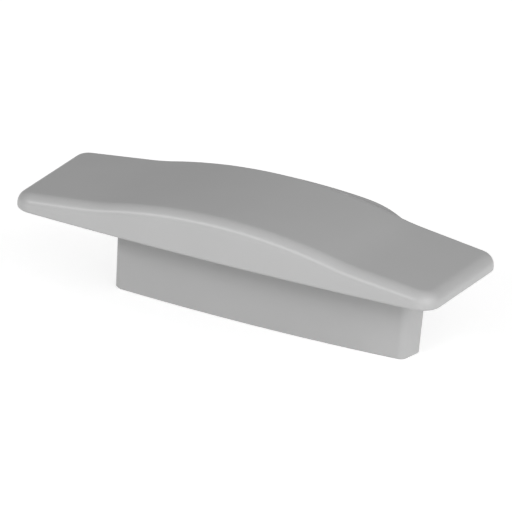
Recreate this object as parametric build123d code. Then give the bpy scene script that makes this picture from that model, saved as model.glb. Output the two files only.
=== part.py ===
"""Profile end cap, moulded in one piece: a humped head over a hollow ribbed plug.

Units are millimetres and +Z is up. The origin lies on the head's flat underside, half-way
along the cap and half-way between the head's straight back edge and its front corners.
The plug hangs below Z = 0, near the back edge, and pushes into the end of the profile.
"""
import os
from math import atan2, tan

from build123d import *

# Head: the plate seen from above
HEAD_LENGTH = 100.0       # end to end, along X
HEAD_DEPTH = 32.6         # back edge to front corners, along Y
FRONT_BOW = 1.7           # the front edge bulges this much at mid-length
FRONT_CORNER_R = 4.7
BACK_CORNER_R = 3.7

# Head: its height along the length, a low crown between two sloping wings
END_HEIGHT = 3.5          # at both ends
WING_RISE = 2.6           # from an end up to the foot of the crown
CROWN_RISE = 3.6          # from its feet up to mid-length
CROWN_SPAN = 58.6         # between its two feet
CROWN_BLEND_R = 60.0      # hollow between crown and wing
TOP_EDGE_R = 2.7
UNDER_EDGE_R = 0.6

# Tier: the lower step that swells out behind the head's straight back edge
TIER_FOOT_SPAN = 56.1     # where its flanks leave the back edge
TIER_SHOULDER_SPAN = 41.0
TIER_REACH = 5.05         # shoulders behind the back edge
TIER_BOW = 1.9            # how much further it reaches at mid-length
TIER_SHOULDER_R = 22.0
TIER_FOOT_HEIGHT = 5.65   # where its flanks leave the back edge
TIER_RISE = 0.65          # from there up to mid-length
TIER_EDGE_R = 1.5

# Plug: measured at the underside of the head
PLUG_LENGTH = 70.0        # between its front corners
PLUG_DEPTH = 7.4          # front corners to back corners
PLUG_BOW = 1.6            # its front wall swells towards the front
PLUG_BACK_LIP = 4.3       # the head and tier overhang its back by this much
PLUG_END_FLARE = 1.1      # an end face leans out by this much from front to back
PLUG_HEIGHT = 21.4
PLUG_DRAFT = 1.5          # degrees, every side
PLUG_FRONT_CORNER_R = 1.9
PLUG_BACK_CORNER_R = 0.9
PLUG_TIP_CHAMFER = 0.4    # lead-in all round the tip
PLUG_WALL = 1.8           # at the underside of the head, thinner at the tip

# Hollows, all open below
HEAD_WALL = 2.4           # rim between the front edge and the pockets
HEAD_ROOF = 2.4           # over the pockets
TIER_ROOF = 2.0           # over the hollow plug
POCKET_END_GAP = 0.5      # the pockets stop this short of the plug's front corners
POCKET_LEDGE = 0.8        # strip of underside left in front of the plug
HOLLOW_CORNER_R = 1.0
RIB_THICKNESS = 1.8
RIB_SETBACK = 5.5         # the outer ribs stand this far inside the tier's shoulders
RIB_COUNT = 3             # evenly spaced, two or more

FRONT_Y = -HEAD_DEPTH / 2
BACK_Y = HEAD_DEPTH / 2
FOOT_HEIGHT = END_HEIGHT + WING_RISE
CROWN_HEIGHT = FOOT_HEIGHT + CROWN_RISE
PLUG_FRONT_Y = BACK_Y - PLUG_BACK_LIP - PLUG_DEPTH
SPARE = 5.0               # how far a rough block stands past the surface that trims it
TINY = 1e-6


def rim_edges(faces):
    """Edges round a group of touching faces, without the seams between them."""
    edges = [edge for face in faces for edge in face.edges()]
    return [edge for edge in edges if sum(edge.is_same(other) for other in edges) == 1]


def upward_faces(solid):
    """Faces of a solid that look mostly up."""
    return [face for face in solid.faces() if face.normal_at().Z > 0.7]


def along_y(section):
    """A section drawn in XZ, run past the whole depth of the cap."""
    return extrude(Plane.XZ * section, HEAD_DEPTH, both=True)


def hump_section(lowered=0.0):
    """Side view of the head, in XZ: wings, crown and the hollow blends between them."""
    end_x = HEAD_LENGTH / 2
    end_z = END_HEIGHT - lowered
    foot_x = CROWN_SPAN / 2
    foot_z = FOOT_HEIGHT - lowered
    left_wing = Line((-end_x, end_z), (-foot_x, foot_z))
    crown = ThreePointArc((-foot_x, foot_z), (0, CROWN_HEIGHT - lowered), (foot_x, foot_z))
    right_wing = Line((foot_x, foot_z), (end_x, end_z))
    base = Polyline((end_x, end_z), (end_x, -SPARE), (-end_x, -SPARE), (-end_x, end_z))
    section = make_face([left_wing, crown, right_wing, base])
    feet = [v for v in section.vertices() if abs(abs(v.X) - foot_x) < TINY]
    return fillet(feet, CROWN_BLEND_R)


def tier_section(lowered=0.0):
    """Side view of the tier, in XZ: all that lies under one long arc."""
    radius = ((TIER_FOOT_SPAN / 2) ** 2 + TIER_RISE**2) / (2 * TIER_RISE)
    top = TIER_FOOT_HEIGHT + TIER_RISE - lowered
    return Pos(0, top - radius) * Circle(radius)


def head_outline():
    """Plan of the head: straight back and ends, bowed front, rounded corners."""
    x = HEAD_LENGTH / 2
    sides = Polyline((-x, FRONT_Y), (-x, BACK_Y), (x, BACK_Y), (x, FRONT_Y))
    front = ThreePointArc((x, FRONT_Y), (0, FRONT_Y - FRONT_BOW), (-x, FRONT_Y))
    outline = make_face([sides, front])
    outline = fillet([v for v in outline.vertices() if v.Y > 0], BACK_CORNER_R)
    return fillet([v for v in outline.vertices() if abs(v.Y - FRONT_Y) < TINY], FRONT_CORNER_R)


def swelling(inset, base_y):
    """Shoulder and flank foot of the tier's plan, drawn in by an inset.

    Returns the shoulder's x and y, and the x where the flank's line crosses base_y.
    """
    flank = atan2(TIER_REACH, (TIER_FOOT_SPAN - TIER_SHOULDER_SPAN) / 2)
    shoulder_x = TIER_SHOULDER_SPAN / 2 - inset * tan(flank / 2)
    shoulder_y = BACK_Y + TIER_REACH - inset
    return shoulder_x, shoulder_y, shoulder_x + (shoulder_y - base_y) / tan(flank)


def tier_outline():
    """Plan of the tier, run on into the head so that the two join."""
    base_y = BACK_Y - TOP_EDGE_R - TIER_EDGE_R
    x, y, base_x = swelling(0.0, base_y)
    flanks = Polyline((x, y), (base_x, base_y), (-base_x, base_y), (-x, y))
    back = ThreePointArc((-x, y), (0, y + TIER_BOW), (x, y))
    outline = make_face([flanks, back])
    return fillet([v for v in outline.vertices() if abs(v.Y - y) < TINY], TIER_SHOULDER_R)


def solid_head():
    """Outer form of the head and its tier, not yet hollowed."""
    plate = extrude(head_outline(), CROWN_HEIGHT + SPARE) & along_y(hump_section())
    plate = fillet(rim_edges(upward_faces(plate)), TOP_EDGE_R)
    tier = extrude(tier_outline(), CROWN_HEIGHT + SPARE) & along_y(tier_section())
    tier_rim = rim_edges(upward_faces(tier))
    outer_rim = [edge for edge in tier_rim if edge.center().Y > BACK_Y - TOP_EDGE_R]
    head = plate + fillet(outer_rim, TIER_EDGE_R)
    underside = head.faces().sort_by(Axis.Z)[0]
    return fillet(underside.outer_wire().edges(), UNDER_EDGE_R)


def plug_outline(inset=0.0):
    """Plan of the plug with sharp corners, every side drawn in by an inset."""
    front_x = PLUG_LENGTH / 2 - inset
    front_y = PLUG_FRONT_Y + inset
    back_x = PLUG_LENGTH / 2 + PLUG_END_FLARE - inset
    back_y = BACK_Y - PLUG_BACK_LIP - inset
    x, y, foot_x = swelling(PLUG_BACK_LIP + inset, back_y)
    front = ThreePointArc((-front_x, front_y), (0, front_y - PLUG_BOW), (front_x, front_y))
    right = Polyline((front_x, front_y), (back_x, back_y), (foot_x, back_y), (x, y))
    back = ThreePointArc((x, y), (0, y + TIER_BOW), (-x, y))
    left = Polyline((-x, y), (-foot_x, back_y), (-back_x, back_y), (-front_x, front_y))
    return make_face([front, right, back, left])


def upright_edges(body, low_y, high_y):
    """Corner edges of the plug that lie between two depths."""
    upright = [edge for edge in body.edges() if edge.bounding_box().size.Z > PLUG_HEIGHT / 2]
    return [edge for edge in upright if low_y < edge.center().Y < high_y]


def plug_body():
    """Outer form of the plug: drafted walls, rounded corners and a chamfered tip."""
    body = extrude(plug_outline(), -PLUG_HEIGHT)
    walls = [face for face in body.faces() if abs(face.normal_at().Z) < TINY]
    body = draft(walls, Plane.XY, -PLUG_DRAFT)
    back_y = BACK_Y - PLUG_BACK_LIP
    middle_y = (PLUG_FRONT_Y + back_y) / 2
    body = fillet(upright_edges(body, FRONT_Y, middle_y), PLUG_FRONT_CORNER_R)
    body = fillet(upright_edges(body, middle_y, back_y), PLUG_BACK_CORNER_R)
    body = fillet(upright_edges(body, back_y, HEAD_DEPTH), TIER_SHOULDER_R - PLUG_BACK_LIP)
    return chamfer(body.faces().sort_by(Axis.Z)[0].edges(), PLUG_TIP_CHAMFER)


def rib_plan():
    """Plan of the cross ribs that divide every hollow."""
    bar = Rectangle(RIB_THICKNESS, 4 * HEAD_DEPTH)
    pitch = (TIER_SHOULDER_SPAN - 2 * RIB_SETBACK) / (RIB_COUNT - 1)
    return Sketch() + GridLocations(pitch, 0, RIB_COUNT, 1) * bar


def rounded_cells(plan):
    """The cells that the ribs leave of a plan, with rounded corners."""
    cells = plan - rib_plan()
    return fillet(cells.vertices(), HOLLOW_CORNER_R)


def plug_hollows():
    """Cells inside the plug, open at its tip and roofed by the tier."""
    cells = Pos(0, 0, -PLUG_HEIGHT - SPARE) * rounded_cells(plug_outline(PLUG_WALL))
    return extrude(cells, PLUG_HEIGHT + CROWN_HEIGHT + SPARE) & along_y(tier_section(TIER_ROOF))


def head_pockets():
    """Pockets in the underside in front of the plug, roofed parallel to the hump."""
    head_x = HEAD_LENGTH / 2
    plug_x = PLUG_LENGTH / 2
    rim_y = FRONT_Y + HEAD_WALL
    ledge_y = PLUG_FRONT_Y - POCKET_LEDGE
    front = ThreePointArc((-head_x, rim_y), (0, rim_y - FRONT_BOW), (head_x, rim_y))
    right = Line((head_x, rim_y), (plug_x, ledge_y))
    back = ThreePointArc((plug_x, ledge_y), (0, ledge_y - PLUG_BOW), (-plug_x, ledge_y))
    left = Line((-plug_x, ledge_y), (-head_x, rim_y))
    bay = make_face([front, right, back, left])
    bay &= Rectangle(PLUG_LENGTH - 2 * POCKET_END_GAP, 2 * HEAD_DEPTH)
    cells = Pos(0, 0, -SPARE / 2) * rounded_cells(bay)
    return extrude(cells, CROWN_HEIGHT + SPARE) & along_y(hump_section(HEAD_ROOF))


def end_cap():
    """The whole cap."""
    return solid_head() + plug_body() - plug_hollows() - head_pockets()


if __name__ == "__main__":
    os.makedirs("parts", exist_ok=True)
    export_step(end_cap(), "parts/end_cap.step")
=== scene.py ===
"""Studio scene for a moulded profile end cap.

The file is laid out as an add-on: settings in a property group, one operator for the cap's
moulded plastic, one for the stage with its lamps and camera, and a panel that lists them.
Lengths are metres, and the cap keeps its own frame: +Z up, +X along it, -Y to its front.
"""

import math

import bpy
from mathutils import Matrix, Vector


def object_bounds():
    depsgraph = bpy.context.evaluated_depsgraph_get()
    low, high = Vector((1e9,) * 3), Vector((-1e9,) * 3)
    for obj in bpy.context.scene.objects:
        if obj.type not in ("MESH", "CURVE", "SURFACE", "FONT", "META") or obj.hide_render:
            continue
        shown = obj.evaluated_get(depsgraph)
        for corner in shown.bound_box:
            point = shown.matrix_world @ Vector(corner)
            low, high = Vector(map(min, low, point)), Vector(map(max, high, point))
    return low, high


bl_info = {
    "name": "Profile End Cap Studio",
    "version": (1, 0, 0),
    "blender": (4, 5, 0),
    "location": "View3D > Sidebar > End Cap",
    "description": "Finishes a moulded profile end cap and sets its studio stage",
    "category": "Object",
}

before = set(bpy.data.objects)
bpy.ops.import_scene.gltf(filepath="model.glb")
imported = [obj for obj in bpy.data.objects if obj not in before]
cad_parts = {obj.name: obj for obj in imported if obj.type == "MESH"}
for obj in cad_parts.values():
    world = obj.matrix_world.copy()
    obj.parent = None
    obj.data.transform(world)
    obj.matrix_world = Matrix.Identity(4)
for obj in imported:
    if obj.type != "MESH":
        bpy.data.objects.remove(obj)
CAD_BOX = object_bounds()
CAP_NODE = "end_cap"
PLASTIC_SLOT = "cap_plastic"

SENSOR_WIDTH = 36.0       # millimetres, as Blender's cameras give it
FAR_LIMIT = 100.0         # metres, the furthest that the camera sees
FLOOR_HALF = 6.0          # metres, from the cap to each edge of the floor
WHITE = (1.0, 1.0, 1.0, 1.0)
PAPER_WHITE = (0.9, 0.9, 0.9, 1.0)
PAPER_LIFT = 0.5          # added where the camera or a reflection sees the paper
TONE_CHANGE = 0.015       # share by which the plastic's tone wanders, up and down
SHEEN_CHANGE = 0.03       # how far its roughness wanders, up and down

# Where each lamp stands: degrees to the right of the cap's front, and above the level
RIGHT_LAMP_PLACE = (50.0, 20.0)
SIDE_LAMP_PLACE = (85.0, 20.0)
STRIP_LAMP_PLACE = (-24.0, 27.0)


class EndCapSettings(bpy.types.PropertyGroup):
    """Colours and sizes that a user of the scene would change."""

    plastic_color: bpy.props.FloatVectorProperty(
        name="Plastic Color", description="Main colour of the moulded plastic",
        default=(0.46, 0.46, 0.46), size=3, min=0.0, max=1.0, subtype="COLOR")
    plastic_roughness: bpy.props.FloatProperty(
        name="Roughness", description="How satin the moulded skin is",
        default=0.33, min=0.0, max=1.0, subtype="FACTOR")
    grain_size: bpy.props.FloatProperty(
        name="Grain Size", description="Size of the fine spark-eroded grain",
        default=0.00035, min=0.0001, max=0.005, unit="LENGTH")
    grain_depth: bpy.props.FloatProperty(
        name="Grain Depth", description="Depth of the fine grain",
        default=0.000004, min=0.0, max=0.001, unit="LENGTH")
    view_azimuth: bpy.props.FloatProperty(
        name="View Azimuth", description="Camera's turn to the right of the cap's front",
        default=math.radians(25.3), subtype="ANGLE")
    view_elevation: bpy.props.FloatProperty(
        name="View Elevation", description="Camera's height above the cap's underside plane",
        default=math.radians(21.66), subtype="ANGLE")
    view_roll: bpy.props.FloatProperty(
        name="View Roll", description="How far the camera leans about its own line of sight",
        default=math.radians(4.2), subtype="ANGLE")
    view_distance: bpy.props.FloatProperty(
        name="View Distance", description="From the camera to the point it looks at",
        default=4.5, min=0.1, unit="LENGTH")
    view_width: bpy.props.FloatProperty(
        name="View Width", description="Width that the picture covers at that point",
        default=0.10845, min=0.01, unit="LENGTH")
    view_right: bpy.props.FloatProperty(
        name="View Right", description="Point looked at, to the picture's right of the origin",
        default=0.00036, unit="LENGTH")
    view_up: bpy.props.FloatProperty(
        name="View Up", description="Point looked at, towards the picture's top from the origin",
        default=-0.00375, unit="LENGTH")
    soft_lamp_distance: bpy.props.FloatProperty(
        name="Soft Lamp Distance", description="From the cap to the two large lamps",
        default=1.2, min=0.1, unit="LENGTH")
    soft_lamp_width: bpy.props.FloatProperty(
        name="Soft Lamp Width", description="Level side of the two large lamps",
        default=1.5, min=0.01, unit="LENGTH")
    soft_lamp_height: bpy.props.FloatProperty(
        name="Soft Lamp Height", description="Upright side of the two large lamps",
        default=1.2, min=0.01, unit="LENGTH")
    strip_lamp_distance: bpy.props.FloatProperty(
        name="Strip Lamp Distance", description="From the cap to the strip lamp",
        default=0.8, min=0.1, unit="LENGTH")
    strip_lamp_length: bpy.props.FloatProperty(
        name="Strip Lamp Length", description="Length of the strip that lines the front edge",
        default=0.7, min=0.01, unit="LENGTH")
    strip_lamp_height: bpy.props.FloatProperty(
        name="Strip Lamp Height", description="Height of the strip that lines the front edge",
        default=0.06, min=0.01, unit="LENGTH")
    right_watts: bpy.props.FloatProperty(
        name="Right Lamp", description="Power of the wide lamp at the front right",
        default=8.4, min=0.0)
    side_watts: bpy.props.FloatProperty(
        name="Side Lamp", description="Power of the wide lamp at the cap's right end",
        default=5.6, min=0.0)
    strip_watts: bpy.props.FloatProperty(
        name="Strip Lamp", description="Power of the strip that lines the front edge",
        default=2.3, min=0.0)
    sky_level: bpy.props.FloatProperty(
        name="Sky Level", description="Brightness of the even light from all round",
        default=0.31, min=0.0)


def node_tree(owner):
    """Clears an owner's node tree and returns it."""
    owner.use_nodes = True
    owner.node_tree.nodes.clear()
    return owner.node_tree


def add_node(tree, kind, **inputs):
    """Adds a node of a kind, with values for its inputs by name."""
    node = tree.nodes.new(kind)
    for name, value in inputs.items():
        node.inputs[name.replace("_", " ")].default_value = value
    return node


def make_plastic(settings):
    """Light grey moulded plastic: a satin skin with faint flow shading and a fine grain."""
    material = bpy.data.materials.new("moulded_plastic")
    tree = node_tree(material)
    link = tree.links.new
    place = add_node(tree, "ShaderNodeTexCoord")
    shader = add_node(tree, "ShaderNodeBsdfPrincipled")
    output = add_node(tree, "ShaderNodeOutputMaterial")
    link(shader.outputs["BSDF"], output.inputs["Surface"])

    clouds = add_node(tree, "ShaderNodeTexNoise", Scale=60.0, Detail=3.0, Roughness=0.5)
    link(place.outputs["Object"], clouds.inputs["Vector"])
    tone = tree.nodes.new("ShaderNodeValToRGB")
    base = Vector(settings.plastic_color)
    tone.color_ramp.elements[0].position = 0.3
    tone.color_ramp.elements[0].color = (*(base * (1.0 - TONE_CHANGE)), 1.0)
    tone.color_ramp.elements[1].position = 0.7
    tone.color_ramp.elements[1].color = (*(base * (1.0 + TONE_CHANGE)), 1.0)
    link(clouds.outputs["Fac"], tone.inputs["Fac"])
    link(tone.outputs["Color"], shader.inputs["Base Color"])

    sheen = add_node(tree, "ShaderNodeMapRange")
    sheen.inputs["To Min"].default_value = settings.plastic_roughness - SHEEN_CHANGE
    sheen.inputs["To Max"].default_value = settings.plastic_roughness + SHEEN_CHANGE
    link(clouds.outputs["Fac"], sheen.inputs["Value"])
    link(sheen.outputs["Result"], shader.inputs["Roughness"])

    grain = add_node(tree, "ShaderNodeTexNoise", Detail=2.0, Scale=1.0 / settings.grain_size)
    link(place.outputs["Object"], grain.inputs["Vector"])
    bump = add_node(tree, "ShaderNodeBump", Strength=1.0, Distance=settings.grain_depth)
    link(grain.outputs["Fac"], bump.inputs["Height"])
    link(bump.outputs["Normal"], shader.inputs["Normal"])
    return material


class ENDCAP_OT_finish_cap(bpy.types.Operator):
    """Give the moulded cap its satin plastic"""

    bl_idname = "endcap.finish_cap"
    bl_label = "Finish Cap"

    def execute(self, context):
        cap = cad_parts[CAP_NODE]
        material = make_plastic(context.scene.end_cap)
        cap.data.materials.clear()
        cap.data.materials.append(material)
        return {"FINISHED"}


def direction(azimuth, elevation):
    """Unit vector from the cap towards a place at that azimuth and elevation."""
    flat = math.cos(elevation)
    return Vector((math.sin(azimuth) * flat, -math.cos(azimuth) * flat, math.sin(elevation)))


def camera_axes(azimuth, elevation, roll):
    """Right, up and back vectors of a camera that looks at the cap from that direction."""
    back = direction(azimuth, elevation)
    right = Vector((math.cos(azimuth), math.sin(azimuth), 0.0))
    up = back.cross(right)
    leaning_right = right * math.cos(roll) + up * math.sin(roll)
    leaning_up = up * math.cos(roll) - right * math.sin(roll)
    return leaning_right, leaning_up, back


def add_camera(settings):
    """Puts the camera where it sees the cap from the front right and above."""
    right, up, back = camera_axes(
        settings.view_azimuth, settings.view_elevation, settings.view_roll)
    target = right * settings.view_right + up * settings.view_up
    data = bpy.data.cameras.new("cap_camera")
    data.sensor_width = SENSOR_WIDTH
    data.lens = SENSOR_WIDTH * settings.view_distance / settings.view_width
    data.clip_end = FAR_LIMIT
    camera = bpy.data.objects.new("cap_camera", data)
    turn = Matrix((right, up, back)).transposed().to_4x4()
    camera.matrix_world = Matrix.Translation(target + back * settings.view_distance) @ turn
    bpy.context.scene.collection.objects.link(camera)
    bpy.context.scene.camera = camera


def add_lamp(name, place, distance, width, height, watts):
    """Adds a flat lamp that faces the cap, with its width level."""
    azimuth, elevation = place
    data = bpy.data.lights.new(name, "AREA")
    data.shape = "RECTANGLE"
    data.size = width
    data.size_y = height
    data.energy = watts
    lamp = bpy.data.objects.new(name, data)
    back = direction(math.radians(azimuth), math.radians(elevation))
    turn = back.to_track_quat("Z", "Y").to_matrix().to_4x4()
    lamp.matrix_world = Matrix.Translation(back * distance) @ turn
    bpy.context.scene.collection.objects.link(lamp)


def make_backdrop_material():
    """Matt white paper that the camera and reflections see as plain white."""
    material = bpy.data.materials.new("white_paper")
    tree = node_tree(material)
    link = tree.links.new
    paper = add_node(tree, "ShaderNodeBsdfDiffuse", Color=PAPER_WHITE)
    lift = add_node(tree, "ShaderNodeEmission", Color=WHITE, Strength=PAPER_LIFT)
    both = tree.nodes.new("ShaderNodeAddShader")
    path = tree.nodes.new("ShaderNodeLightPath")
    seen = add_node(tree, "ShaderNodeMath")
    seen.operation = "MAXIMUM"
    mix = tree.nodes.new("ShaderNodeMixShader")
    output = tree.nodes.new("ShaderNodeOutputMaterial")
    link(path.outputs["Is Camera Ray"], seen.inputs[0])
    link(path.outputs["Is Glossy Ray"], seen.inputs[1])
    link(paper.outputs["BSDF"], both.inputs[0])
    link(lift.outputs["Emission"], both.inputs[1])
    link(seen.outputs["Value"], mix.inputs["Fac"])
    link(paper.outputs["BSDF"], mix.inputs[1])
    link(both.outputs["Shader"], mix.inputs[2])
    link(mix.outputs["Shader"], output.inputs["Surface"])
    return material


def add_floor():
    """Lays a wide pale floor that just meets the tip of the plug."""
    half = FLOOR_HALF
    level = CAD_BOX[0][2]
    corners = [(-half, -half, level), (half, -half, level), (half, half, level), (-half, half, level)]
    mesh = bpy.data.meshes.new("floor")
    mesh.from_pydata(corners, [], [(0, 1, 2, 3)])
    mesh.materials.append(make_backdrop_material())
    floor = bpy.data.objects.new("floor", mesh)
    bpy.context.scene.collection.objects.link(floor)


def light_sky(level):
    """Lights the cap evenly from all round, and shows the camera plain white."""
    world = bpy.data.worlds.new("studio_sky")
    bpy.context.scene.world = world
    tree = node_tree(world)
    link = tree.links.new
    dim = add_node(tree, "ShaderNodeBackground", Color=WHITE, Strength=level)
    white = add_node(tree, "ShaderNodeBackground", Color=WHITE, Strength=1.0)
    path = tree.nodes.new("ShaderNodeLightPath")
    mix = tree.nodes.new("ShaderNodeMixShader")
    output = tree.nodes.new("ShaderNodeOutputWorld")
    link(path.outputs["Is Camera Ray"], mix.inputs["Fac"])
    link(dim.outputs["Background"], mix.inputs[1])
    link(white.outputs["Background"], mix.inputs[2])
    link(mix.outputs["Shader"], output.inputs["Surface"])


class ENDCAP_OT_build_stage(bpy.types.Operator):
    """Set the pale floor, the soft lamps and the camera"""

    bl_idname = "endcap.build_stage"
    bl_label = "Build Stage"

    def execute(self, context):
        settings = context.scene.end_cap
        context.scene.view_settings.view_transform = "Standard"
        add_floor()
        light_sky(settings.sky_level)
        away = settings.soft_lamp_distance
        wide = settings.soft_lamp_width
        tall = settings.soft_lamp_height
        add_lamp("right_lamp", RIGHT_LAMP_PLACE, away, wide, tall, settings.right_watts)
        add_lamp("side_lamp", SIDE_LAMP_PLACE, away, wide, tall, settings.side_watts)
        near = settings.strip_lamp_distance
        length = settings.strip_lamp_length
        height = settings.strip_lamp_height
        add_lamp("strip_lamp", STRIP_LAMP_PLACE, near, length, height, settings.strip_watts)
        add_camera(settings)
        return {"FINISHED"}


class ENDCAP_PT_studio(bpy.types.Panel):
    """End cap studio"""

    bl_idname = "ENDCAP_PT_studio"
    bl_label = "End Cap Studio"
    bl_space_type = "VIEW_3D"
    bl_region_type = "UI"
    bl_category = "End Cap"

    def draw(self, context):
        layout = self.layout
        settings = context.scene.end_cap
        for name in settings.bl_rna.properties.keys():
            if name not in {"rna_type", "name"}:
                layout.prop(settings, name)
        layout.operator(ENDCAP_OT_finish_cap.bl_idname)
        layout.operator(ENDCAP_OT_build_stage.bl_idname)


CLASSES = (EndCapSettings, ENDCAP_OT_finish_cap, ENDCAP_OT_build_stage, ENDCAP_PT_studio)


def register():
    """Registers the classes and puts the settings on the scene."""
    for cls in CLASSES:
        bpy.utils.register_class(cls)
    bpy.types.Scene.end_cap = bpy.props.PointerProperty(type=EndCapSettings)


def unregister():
    """Takes the settings and the classes away again."""
    del bpy.types.Scene.end_cap
    for cls in reversed(CLASSES):
        bpy.utils.unregister_class(cls)


def main():
    """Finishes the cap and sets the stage."""
    register()
    bpy.ops.endcap.finish_cap()
    bpy.ops.endcap.build_stage()


if __name__ == "__main__":
    main()
